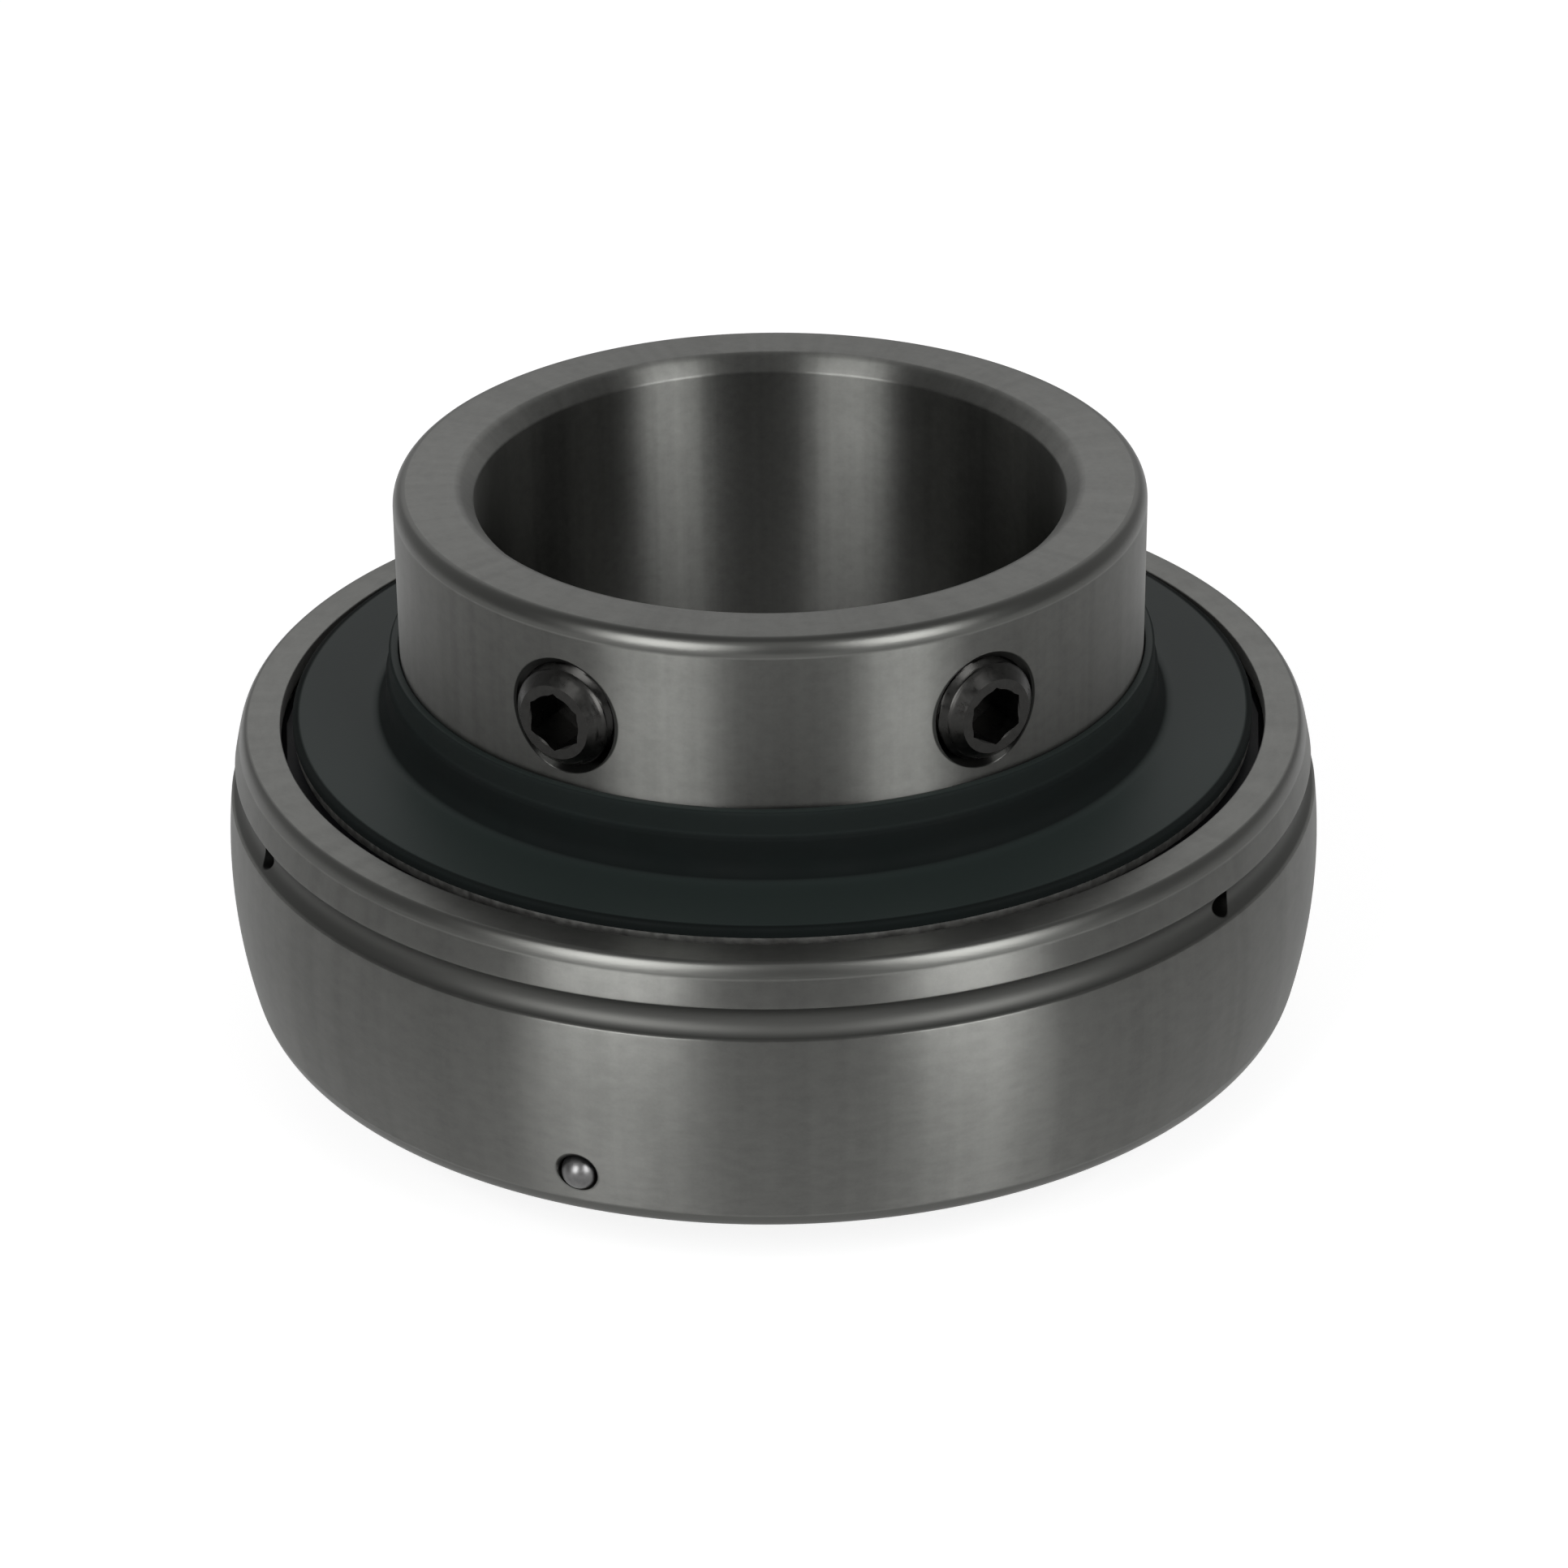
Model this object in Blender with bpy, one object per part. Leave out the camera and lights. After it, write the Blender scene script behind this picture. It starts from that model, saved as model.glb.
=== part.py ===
"""Insert ball bearing, 45 mm bore: a deep groove ball bearing with a spherical outer ring,
a wide inner ring that two set screws clamp on a shaft, and a slinger on each side.

Metres, +Z up along the axis, towards the set screws. The origin is the centre of the inner
ring's lower end face. Every radius is built up from the bore outwards, and every height from
the middle of the ball track, so a changed size carries what seats on it along.
"""

from math import acos, asin, cos, pi, radians, sin, sqrt

import bmesh
import bpy

# Radial sizes, from the bore outwards
BORE_DIAMETER = 0.045
INNER_WALL = 0.00615
TRACK_DEPTH = 0.0028
BALL_DIAMETER = 0.0127
OUTER_WALL = 0.00335
MOUTH_STEP = 0.00175
SEAL_UNDERCUT = 0.0007

# Heights, from the middle of the ball track outwards
CAGE_SHEET = 0.0009
SEAL_ROOM = 0.00065
SEAL_SEAT_WIDTH = 0.0014
MOUTH_DEPTH = 0.0014
SHORT_SIDE_REACH = 0.008
SCREW_TO_END = 0.0079

# Balls and cage
BALL_COUNT = 9
TRACK_CLOSENESS = 0.52
CAGE_WIDTH_SHARE = 0.355
RIVET_DIAMETER = 0.0022
RIVET_HEAD_DIAMETER = 0.004
RIVET_HEAD_HEIGHT = 0.0009
RIVET_CROWN_SHARE = 0.5

# Seals and slingers
SEAL_THICKNESS = 0.0009
SEAL_DISH = 0.0004
SLINGER_SHEET = 0.001
SLINGER_RIM_HEIGHT = 0.0016
SLINGER_RIM_STAND = 0.00065
SLINGER_PLATE_RISE = 0.00015
SLINGER_COLLAR_RISE = 0.0051
SLINGER_COLLAR_WALL = 0.00055
SLINGER_BOOT_RISE = 0.0033
SLINGER_BOOT_STEP = 0.0003
SLINGER_FILLET = 0.0014
SLINGER_EDGE = 0.00025

# Set screws, M8 x 1 with a 4 mm hexagon socket
SCREW_DIAMETER = 0.008
SCREW_LENGTH = 0.0073
SCREW_SOCKET_WIDTH = 0.004
SCREW_SOCKET_DEPTH = 0.0035
SCREW_CHAMFER = 0.001
SCREW_STAND = 0.0012
SCREW_MOUTH_FLARE = 0.0006
SCREW_SLINGER_ROOM = 0.0008
SCREW_MIDDLE_ANGLE = radians(0.4)
SCREW_SPREAD = radians(64.8)

# Lubrication groove and its holes
GROOVE_FROM_FACE = 0.00445
GROOVE_WIDTH = 0.0025
GROOVE_DEPTH = 0.0008
GROOVE_FLOOR_SHARE = 0.55
LUBRICATION_HOLE_DIAMETER = 0.002
LUBRICATION_HOLE_COUNT = 3
LUBRICATION_HOLE_ANGLE = radians(-67.2)

# Anti-rotation pin
PIN_DIAMETER = 0.0024
PIN_ANGLE = radians(-20.35)
PIN_FROM_FACE = 0.0036
PIN_STAND = 0.0007
PIN_FLOOR = 0.0008

# Broken edges
BORE_CHAMFER = 0.0012
RING_EDGE = 0.00105
OUTER_EDGE = 0.00095

# Clearances
RUNNING_GAP = 0.0003
SEAT_GAP = 0.0003
RIVET_GAP = 0.00015
SLINGER_RUNNING_GAP = 0.00095

# Smoothness
RING_STEPS = 56
SEAL_STEPS = 36
TRACK_STEPS = 8
SPHERE_STEPS = 5
GROOVE_STEPS = 2
FILLET_STEPS = 3
DOME_STEPS = 3
EDGE_STEPS = 2
SCREW_STEPS = 18
HOLE_STEPS = 18
PIN_STEPS = 12
SMALL_STEPS = 8
BALL_STEPS = (14, 9)
POCKET_STEPS = 7
SMOOTH_ANGLE = radians(35)
CUTTER_EXTRA = 0.001

# Radii that follow from the sizes above
BORE_RADIUS = BORE_DIAMETER / 2
LAND_RADIUS = BORE_RADIUS + INNER_WALL
INNER_TRACK_BOTTOM = LAND_RADIUS - TRACK_DEPTH
BALL_RADIUS = BALL_DIAMETER / 2
PITCH_RADIUS = INNER_TRACK_BOTTOM + RUNNING_GAP + BALL_RADIUS
OUTER_TRACK_BOTTOM = PITCH_RADIUS + BALL_RADIUS + RUNNING_GAP
SHOULDER_RADIUS = OUTER_TRACK_BOTTOM - TRACK_DEPTH
TRACK_RADIUS = TRACK_CLOSENESS * BALL_DIAMETER
CAGE_WIDTH = CAGE_WIDTH_SHARE * BALL_DIAMETER
SPHERE_RADIUS = OUTER_TRACK_BOTTOM + OUTER_WALL
MOUTH_RADIUS = SHOULDER_RADIUS + MOUTH_STEP
SEAT_RADIUS = MOUTH_RADIUS + SEAL_UNDERCUT
PIN_SEAT_RADIUS = SEAT_RADIUS + PIN_FLOOR

# Heights above the middle of the ball track that follow from the sizes above
CAGE_TOP = BALL_RADIUS + RUNNING_GAP + CAGE_SHEET
SEAL_FLOOR = CAGE_TOP + SEAL_ROOM
SEAL_SEAT_TOP = SEAL_FLOOR + SEAL_SEAT_WIDTH
HALF_WIDTH = SEAL_SEAT_TOP + MOUTH_DEPTH
SLINGER_RIM_TOP = HALF_WIDTH + SLINGER_RIM_STAND
SLINGER_PLATE_TOP = SLINGER_RIM_TOP + SLINGER_PLATE_RISE
SLINGER_TOP = SLINGER_PLATE_TOP + SLINGER_COLLAR_RISE
SCREW_HOLE_RADIUS = SCREW_DIAMETER / 2
SCREW_MOUTH_RADIUS = SCREW_HOLE_RADIUS + SCREW_MOUTH_FLARE
SCREW_HEIGHT = SLINGER_TOP + SCREW_SLINGER_ROOM + SCREW_MOUTH_RADIUS
LONG_SIDE = SCREW_HEIGHT + SCREW_TO_END
SHORT_SIDE = HALF_WIDTH + SHORT_SIDE_REACH
GROOVE_HEIGHT = HALF_WIDTH - GROOVE_FROM_FACE
PIN_HEIGHT = PIN_FROM_FACE - HALF_WIDTH

STEEL = (0.11, 0.11, 0.105)
BRIGHT_STEEL = (0.35, 0.35, 0.34)
BLUE_BLACK = (0.016, 0.02, 0.022)
BLACK_OXIDE = (0.012, 0.013, 0.015)


def arc(centre, radius, start, end, steps):
    """Points (radius, height) on an arc, from angle start to angle end, both ends included."""
    points = []
    for step in range(steps + 1):
        angle = start + (end - start) * step / steps
        points.append((centre[0] + radius * cos(angle), centre[1] + radius * sin(angle)))
    return points


def mirrored(points):
    """The same outline below the middle plane, walked the other way."""
    return [(radius, -height) for radius, height in reversed(points)]


def turned(name, outline, steps):
    """A mesh turned about +Z from an outline of (radius, height) points.

    A first and a last point on the axis close the shape there. Otherwise the outline is a loop.
    """
    shape = bmesh.new()
    verts = [shape.verts.new((radius, 0, height)) for radius, height in outline]
    edges = [shape.edges.new(pair) for pair in zip(verts, verts[1:])]
    if outline[0][0] > 0:
        edges.append(shape.edges.new((verts[-1], verts[0])))
    bmesh.ops.spin(
        shape,
        geom=verts + edges,
        axis=(0, 0, 1),
        cent=(0, 0, 0),
        angle=2 * pi,
        steps=steps,
        use_merge=True,
    )
    bmesh.ops.remove_doubles(shape, verts=shape.verts, dist=1e-7)
    return finished(name, shape)


def finished(name, shape):
    """The mesh of a bmesh, faces out, smooth but for its sharp edges."""
    bmesh.ops.recalc_face_normals(shape, faces=shape.faces)
    mesh = bpy.data.meshes.new(name)
    shape.to_mesh(mesh)
    shape.free()
    mesh.shade_smooth()
    mesh.set_sharp_from_angle(angle=SMOOTH_ANGLE)
    return mesh


def material(name, colour, roughness, metallic):
    """A Principled BSDF material."""
    made = bpy.data.materials.new(name)
    made.use_nodes = True
    shader = made.node_tree.nodes["Principled BSDF"]
    shader.inputs["Base Color"].default_value = (*colour, 1)
    shader.inputs["Roughness"].default_value = roughness
    shader.inputs["Metallic"].default_value = metallic
    return made


def place(name, mesh, parent, finish=None, location=(0, 0, 0), rotation=(0, 0, 0)):
    """An object of this mesh under its parent."""
    piece = bpy.data.objects.new(name, mesh)
    bpy.context.scene.collection.objects.link(piece)
    piece.parent = parent
    piece.location = location
    piece.rotation_euler = rotation
    if finish and not mesh.materials:
        mesh.materials.append(finish)
    return piece


def guide(name, height, parent=None):
    """An empty on the bearing's axis, which carries one moving group."""
    empty = bpy.data.objects.new(name, None)
    bpy.context.scene.collection.objects.link(empty)
    empty.parent = parent
    empty.location = (0, 0, height)
    return empty


def cut(piece, name, mesh, **where):
    """Cuts a hidden tool, placed under the same parent, out of the piece."""
    tool = place(name, mesh, piece.parent, **where)
    tool.hide_render = True
    tool.display_type = "WIRE"
    modifier = piece.modifiers.new(name, "BOOLEAN")
    modifier.object = tool
    modifier.operation = "DIFFERENCE"


def sideways(angle, height):
    """Location and rotation that lay a piece's +Z outwards from the axis, at this height.

    The angle is from the front, which is -Y, towards +X.
    """
    return {"location": (0, 0, height), "rotation": (0, pi / 2, angle - pi / 2)}


def outer_ring_outline():
    """Spherical outside with a lubrication groove, ball track, seal seats and open mouths."""
    face_angle = asin(HALF_WIDTH / SPHERE_RADIUS)
    edge_angle = face_angle - OUTER_EDGE / SPHERE_RADIUS
    groove_angle = asin(GROOVE_HEIGHT / SPHERE_RADIUS)
    groove_half = GROOVE_WIDTH / 2 / SPHERE_RADIUS
    floor_half = groove_half * GROOVE_FLOOR_SHARE
    edge = rounded_edge(SPHERE_RADIUS * cos(face_angle) - OUTER_EDGE, edge_angle)
    above_groove = arc((0, 0), SPHERE_RADIUS, edge_angle, groove_angle + groove_half, 1)
    groove_floor = arc(
        (0, 0),
        SPHERE_RADIUS - GROOVE_DEPTH,
        groove_angle + floor_half,
        groove_angle - floor_half,
        GROOVE_STEPS,
    )
    below_groove = arc((0, 0), SPHERE_RADIUS, groove_angle - groove_half, -edge_angle, SPHERE_STEPS)
    outside = edge + above_groove + groove_floor + below_groove + mirrored(edge)

    seat = [
        (SHOULDER_RADIUS, SEAL_FLOOR),
        (SEAT_RADIUS, SEAL_FLOOR),
        (SEAT_RADIUS, SEAL_SEAT_TOP - SEAL_UNDERCUT),
        (MOUTH_RADIUS, SEAL_SEAT_TOP),
        (MOUTH_RADIUS, HALF_WIDTH),
    ]
    track_centre = OUTER_TRACK_BOTTOM - TRACK_RADIUS
    reach = acos((SHOULDER_RADIUS - track_centre) / TRACK_RADIUS)
    track = arc((track_centre, 0), TRACK_RADIUS, -reach, reach, TRACK_STEPS)
    return outside + mirrored(seat) + track + seat


def rounded_edge(face_radius, edge_angle):
    """The rounded edge between the side face and the sphere, without its point on the sphere."""
    width = SPHERE_RADIUS * cos(edge_angle) - face_radius
    drop = HALF_WIDTH - SPHERE_RADIUS * sin(edge_angle)
    points = []
    for step in range(EDGE_STEPS):
        angle = pi / 2 * step / EDGE_STEPS
        points.append((face_radius + width * sin(angle), HALF_WIDTH - drop * (1 - cos(angle))))
    return points


def make_outer_ring(parent, finish):
    mesh = turned("outer_ring", outer_ring_outline(), RING_STEPS)
    ring = place("outer_ring", mesh, parent, finish)
    inside = SHOULDER_RADIUS - CUTTER_EXTRA
    hole = rod(LUBRICATION_HOLE_DIAMETER / 2, inside, SPHERE_RADIUS + CUTTER_EXTRA)
    drill = turned("lubrication_drill", hole, SMALL_STEPS)
    for number in range(LUBRICATION_HOLE_COUNT):
        angle = LUBRICATION_HOLE_ANGLE + 2 * pi * number / LUBRICATION_HOLE_COUNT
        cut(ring, f"lubrication_drill_{number + 1}", drill, **sideways(angle, GROOVE_HEIGHT))
    hole = rod(PIN_DIAMETER / 2 + SEAT_GAP, PIN_SEAT_RADIUS, SPHERE_RADIUS + CUTTER_EXTRA)
    drill = turned("pin_drill", hole, PIN_STEPS)
    cut(ring, "pin_drill", drill, **sideways(PIN_ANGLE, PIN_HEIGHT))


def rod(radius, low, high):
    """The outline of a plain cylinder."""
    return [(0, low), (radius, low), (radius, high), (0, high)]


def make_pin(parent, finish):
    """The anti-rotation pin, with a domed end that stands out of the sphere."""
    radius = PIN_DIAMETER / 2
    surface = sqrt(SPHERE_RADIUS**2 - PIN_HEIGHT**2)
    tip = surface + PIN_STAND
    dome = arc((0, tip - radius), radius, 0, pi / 2, DOME_STEPS)
    outline = [(0, PIN_SEAT_RADIUS + SEAT_GAP), (radius, PIN_SEAT_RADIUS + SEAT_GAP)]
    mesh = turned("anti_rotation_pin", outline + dome[:-1] + [(0, tip)], PIN_STEPS)
    place("anti_rotation_pin", mesh, parent, finish, **sideways(PIN_ANGLE, PIN_HEIGHT))


def inner_ring_outline():
    """Bore, broken end edges and the ball track in a plain outside."""
    track_centre = INNER_TRACK_BOTTOM + TRACK_RADIUS
    reach = acos((track_centre - LAND_RADIUS) / TRACK_RADIUS)
    track = arc((track_centre, 0), TRACK_RADIUS, pi - reach, pi + reach, TRACK_STEPS)
    return ring_end(LONG_SIDE) + track + mirrored(ring_end(SHORT_SIDE))


def ring_end(height):
    """One end of the inner ring, from its bore over the end face to its outside."""
    corner = (LAND_RADIUS - RING_EDGE, height - RING_EDGE)
    return [
        (BORE_RADIUS, height - BORE_CHAMFER),
        (BORE_RADIUS + BORE_CHAMFER, height),
    ] + list(reversed(arc(corner, RING_EDGE, 0, pi / 2, EDGE_STEPS)))


def make_inner_ring(parent, finish):
    mesh = turned("inner_ring", inner_ring_outline(), RING_STEPS)
    ring = place("inner_ring", mesh, parent, finish)
    low = BORE_RADIUS - CUTTER_EXTRA
    mouth = LAND_RADIUS - SCREW_MOUTH_FLARE
    high = LAND_RADIUS + CUTTER_EXTRA
    outline = [
        (0, low),
        (SCREW_HOLE_RADIUS, low),
        (SCREW_HOLE_RADIUS, mouth),
        (SCREW_MOUTH_RADIUS + CUTTER_EXTRA, high),
        (0, high),
    ]
    drill = turned("screw_drill", outline, HOLE_STEPS)
    for side, angle in screw_angles().items():
        cut(ring, f"screw_drill_{side}", drill, **sideways(angle, SCREW_HEIGHT))


def screw_angles():
    return {
        "left": SCREW_MIDDLE_ANGLE - SCREW_SPREAD / 2,
        "right": SCREW_MIDDLE_ANGLE + SCREW_SPREAD / 2,
    }


def make_set_screws(parent, finish):
    """Grub screws with a cup point, whose origins lie where the bearing's axis meets theirs."""
    radius = SCREW_DIAMETER / 2 - SEAT_GAP
    top = LAND_RADIUS + SCREW_STAND
    foot = top - SCREW_LENGTH
    outline = [
        (0, foot + SCREW_CHAMFER),
        (radius - 2 * SCREW_CHAMFER, foot),
        (radius - SCREW_CHAMFER, foot),
        (radius, foot + SCREW_CHAMFER),
        (radius, top - SCREW_CHAMFER),
        (radius - SCREW_CHAMFER, top),
        (0, top),
    ]
    mesh = turned("set_screw", outline, SCREW_STEPS)
    socket = rod(
        SCREW_SOCKET_WIDTH / 2 / cos(pi / 6), top - SCREW_SOCKET_DEPTH, top + CUTTER_EXTRA
    )
    key = turned("socket_key", socket, 6)
    for side, angle in screw_angles().items():
        where = sideways(angle, SCREW_HEIGHT)
        screw = place(f"set_screw_{side}", mesh, parent, finish, **where)
        cut(screw, f"socket_key_{side}", key, **where)


def slinger_outline():
    """A collar in two steps up the inner ring, a plate, and a rim that hangs in the mouth."""
    inside = LAND_RADIUS + SEAT_GAP
    sleeve = inside + SLINGER_COLLAR_WALL
    boot = sleeve + SLINGER_BOOT_STEP
    boot_top = SLINGER_PLATE_TOP + SLINGER_BOOT_RISE
    rim = MOUTH_RADIUS - SLINGER_RUNNING_GAP
    rim_foot = SLINGER_RIM_TOP - SLINGER_RIM_HEIGHT
    corner = (boot + SLINGER_FILLET, SLINGER_PLATE_TOP + SLINGER_FILLET)
    return [
        (inside, SLINGER_TOP),
        (sleeve - SLINGER_EDGE, SLINGER_TOP),
        (sleeve, SLINGER_TOP - SLINGER_EDGE),
        (sleeve, boot_top),
        (boot, boot_top - SLINGER_BOOT_STEP),
        *arc(corner, SLINGER_FILLET, pi, 3 * pi / 2, FILLET_STEPS),
        (rim - SLINGER_EDGE, SLINGER_RIM_TOP),
        (rim, SLINGER_RIM_TOP - SLINGER_EDGE),
        (rim, rim_foot),
        (rim - SLINGER_SHEET, rim_foot),
        (rim - SLINGER_SHEET, SLINGER_RIM_TOP - SLINGER_SHEET),
        (inside, SLINGER_PLATE_TOP - SLINGER_SHEET),
    ]


def seal_outline():
    """A dished sheet whose bead snaps into the outer ring and whose lip rides on the inner."""
    bead = SEAT_RADIUS - SEAT_GAP
    mouth = MOUTH_RADIUS - SEAT_GAP
    lip = LAND_RADIUS + RUNNING_GAP
    floor = SEAL_FLOOR + SEAT_GAP
    top = floor + SEAL_THICKNESS
    return [
        (bead, floor),
        (bead, top - SEAL_UNDERCUT),
        (mouth, top),
        (mouth - SEAL_THICKNESS, top),
        (lip + 2 * SEAL_THICKNESS, top + SEAL_DISH),
        (lip, top),
        (lip + SEAL_DISH, floor),
        (lip + 2 * SEAL_THICKNESS, floor + SEAL_DISH),
        (mouth - SEAL_THICKNESS, floor),
    ]


def make_side_pieces(prefix, outline, steps, parent, finish):
    """The same turned piece on both sides of the middle plane."""
    mesh = turned(prefix, outline, steps)
    place(f"{prefix}_upper", mesh, parent, finish)
    place(f"{prefix}_lower", mesh, parent, finish, rotation=(pi, 0, 0))


def ball_angle(number):
    return 2 * pi * number / BALL_COUNT


def make_balls(parent, finish):
    shape = bmesh.new()
    across, along = BALL_STEPS
    bmesh.ops.create_uvsphere(shape, u_segments=across, v_segments=along, radius=BALL_RADIUS)
    mesh = finished("ball", shape)
    for number in range(BALL_COUNT):
        angle = ball_angle(number)
        location = (PITCH_RADIUS * cos(angle), PITCH_RADIUS * sin(angle), 0)
        place(f"ball_{number + 1}", mesh, parent, finish, location, (0, 0, angle))


def pocket_profile(radius, ball_shell, land):
    """Angle and height of points over one ball, on a sphere round it cut at the land's height."""

    def reach(level):
        span = radius**2 + PITCH_RADIUS**2 - ball_shell**2 + level**2
        return acos(span / (2 * radius * PITCH_RADIUS))

    widest = reach(land)
    points = []
    for step in range(POCKET_STEPS + 1):
        angle = -widest * cos(pi * step / POCKET_STEPS)
        aside = radius**2 + PITCH_RADIUS**2 - 2 * radius * PITCH_RADIUS * cos(angle)
        points.append((angle, sqrt(max(ball_shell**2 - aside, land**2))))
    return points


def make_cage(parent, finish):
    """Two pressed halves with a bowl over each ball, riveted on the flats between the balls."""
    shape = bmesh.new()
    radii = (PITCH_RADIUS - CAGE_WIDTH / 2, PITCH_RADIUS, PITCH_RADIUS + CAGE_WIDTH / 2)
    land = RIVET_GAP / 2
    sheets = []
    for ball_shell, level in (
        (BALL_RADIUS + RUNNING_GAP, land),
        (BALL_RADIUS + RUNNING_GAP + CAGE_SHEET, land + CAGE_SHEET),
    ):
        rows = []
        for radius in radii:
            row = []
            for number in range(BALL_COUNT):
                for angle, height in pocket_profile(radius, ball_shell, level):
                    turn = ball_angle(number) + angle
                    spot = (radius * cos(turn), radius * sin(turn), height)
                    row.append(shape.verts.new(spot))
            rows.append(row)
        sheets.append(rows)
    under, over = sheets
    strips = list(zip(under, under[1:])) + list(zip(over, over[1:]))
    strips += [(under[0], over[0]), (under[-1], over[-1])]
    for first, second in strips:
        for here in range(len(first)):
            there = (here + 1) % len(first)
            shape.faces.new((first[here], first[there], second[there], second[here]))
    mesh = finished("cage_half", shape)
    hole = rod(RIVET_DIAMETER / 2 + RIVET_GAP, -CAGE_TOP, CAGE_TOP)
    drill = turned("rivet_drill", hole, SMALL_STEPS)
    for side, rotation in (("upper", (0, 0, 0)), ("lower", (pi, 0, 0))):
        half = place(f"cage_{side}", mesh, parent, finish, rotation=rotation)
        for number in range(BALL_COUNT):
            cut(half, f"rivet_drill_{side}_{number + 1}", drill, location=rivet_spot(number))


def rivet_spot(number):
    angle = ball_angle(number + 0.5)
    return (PITCH_RADIUS * cos(angle), PITCH_RADIUS * sin(angle), 0)


def make_rivets(parent, finish):
    shank = RIVET_DIAMETER / 2
    head = RIVET_HEAD_DIAMETER / 2
    seat = RIVET_GAP / 2 + CAGE_SHEET + RIVET_GAP
    top = seat + RIVET_HEAD_HEIGHT
    crown = head * RIVET_CROWN_SHARE
    upper_half = [(0, top), (crown, top), (head, seat), (shank, seat)]
    mesh = turned("cage_rivet", upper_half + mirrored(upper_half), SMALL_STEPS)
    for number in range(BALL_COUNT):
        place(f"cage_rivet_{number + 1}", mesh, parent, finish, rivet_spot(number))


def clear_scene():
    for old in list(bpy.data.objects):
        bpy.data.objects.remove(old)


def build():
    clear_scene()
    ring_steel = material("ring_steel", STEEL, 0.35, 1)
    inner_steel = material("inner_ring_steel", STEEL, 0.35, 1)
    slinger_rubber = material("slinger_rubber", BLUE_BLACK, 0.5, 0)
    seal_rubber = material("seal_rubber", BLACK_OXIDE, 0.6, 0)
    ball_steel = material("ball_steel", BRIGHT_STEEL, 0.1, 1)
    cage_steel = material("cage_steel", BRIGHT_STEEL, 0.4, 1)
    rivet_steel = material("rivet_steel", BRIGHT_STEEL, 0.3, 1)
    black_oxide = material("set_screw_oxide", BLACK_OXIDE, 0.35, 1)
    pin_steel = material("pin_steel", BRIGHT_STEEL, 0.25, 1)

    housing_side = guide("housing_side", SHORT_SIDE)
    shaft_side = guide("shaft_side", 0, housing_side)
    cage_side = guide("cage_side", 0, housing_side)

    make_outer_ring(housing_side, ring_steel)
    make_pin(housing_side, pin_steel)
    make_side_pieces("seal", seal_outline(), SEAL_STEPS, housing_side, seal_rubber)
    make_inner_ring(shaft_side, inner_steel)
    make_side_pieces("slinger", slinger_outline(), RING_STEPS, shaft_side, slinger_rubber)
    make_set_screws(shaft_side, black_oxide)
    make_balls(cage_side, ball_steel)
    make_cage(cage_side, cage_steel)
    make_rivets(cage_side, rivet_steel)


build()
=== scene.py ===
"""Looks of the insert ball bearing: finely turned meshes, threads, ground steel, rubber and light.

Metres, +Z along the axis. Radii are built up from the bore outwards, and heights are measured
from the middle of the ball track, as in the part's own source.
"""

from math import acos, asin, ceil, cos, hypot, pi, radians, sin, sqrt

import bmesh
import bpy
from mathutils import Matrix, Vector


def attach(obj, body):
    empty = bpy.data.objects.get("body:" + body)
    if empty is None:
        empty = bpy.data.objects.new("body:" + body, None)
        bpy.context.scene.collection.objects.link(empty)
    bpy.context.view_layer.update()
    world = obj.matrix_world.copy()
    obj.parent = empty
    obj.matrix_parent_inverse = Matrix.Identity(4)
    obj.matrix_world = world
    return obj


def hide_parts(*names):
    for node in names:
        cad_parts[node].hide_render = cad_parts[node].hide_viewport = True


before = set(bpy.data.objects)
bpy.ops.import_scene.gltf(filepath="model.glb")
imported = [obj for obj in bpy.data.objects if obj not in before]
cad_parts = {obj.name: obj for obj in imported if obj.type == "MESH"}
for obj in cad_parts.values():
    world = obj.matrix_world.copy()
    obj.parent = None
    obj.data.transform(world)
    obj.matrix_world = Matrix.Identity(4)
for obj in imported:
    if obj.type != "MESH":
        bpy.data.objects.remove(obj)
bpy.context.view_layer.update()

MM = 0.001

# The camera, worked out from the outlines of the rings in the photograph
IMAGE_SIDE = 1932
FOCAL_PIXELS = 6256
MIDDLE_SEEN_AT = (953.4, 1016.7)
CAMERA_DISTANCE = 0.39956
CAMERA_ELEVATION = radians(28.377)
CAMERA_ROLL = radians(-0.641)
CLIP_START = 0.01
SENSOR_WIDTH = 36

# Radial sizes, from the bore outwards
BORE_RADIUS = 22.5 * MM
INNER_WALL = 6.15 * MM
TRACK_DEPTH = 2.8 * MM
BALL_RADIUS = 6.35 * MM
TRACK_TO_BALL = 1.04
OUTER_WALL = 3.35 * MM
MOUTH_STEP = 1.75 * MM
SEAL_UNDERCUT = 0.7 * MM
RUNNING_GAP = 0.3 * MM

# Heights, from the middle of the ball track
SEAL_FLOOR = 8.2 * MM
SEAL_SEAT_TOP = 9.6 * MM
HALF_WIDTH = 11 * MM
SHORT_SIDE = 19 * MM
SCREW_HEIGHT = 22.3 * MM
LONG_SIDE = 30.2 * MM

# Slingers
SLINGER_FIT = 0.05 * MM
SLINGER_SHEET = 1 * MM
SLINGER_RIM_HEIGHT = 1.6 * MM
SLINGER_RIM_STAND = 0.65 * MM
SLINGER_PLATE_RISE = 0.15 * MM
SLINGER_COLLAR_RISE = 5.1 * MM
SLINGER_SLEEVE = 0.85 * MM
SLINGER_BOOT_RISE = 3.3 * MM
SLINGER_BOOT_STEP = 0.3 * MM
SLINGER_FILLET = 1.4 * MM
SLINGER_RUNNING_GAP = 0.95 * MM
SLINGER_COAT = 0.3 * MM
SLINGER_COAT_DROP = 0.75 * MM
SLINGER_RIM_SETBACK = 0.1 * MM
JOINT_LINE = 0.01 * MM

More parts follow.
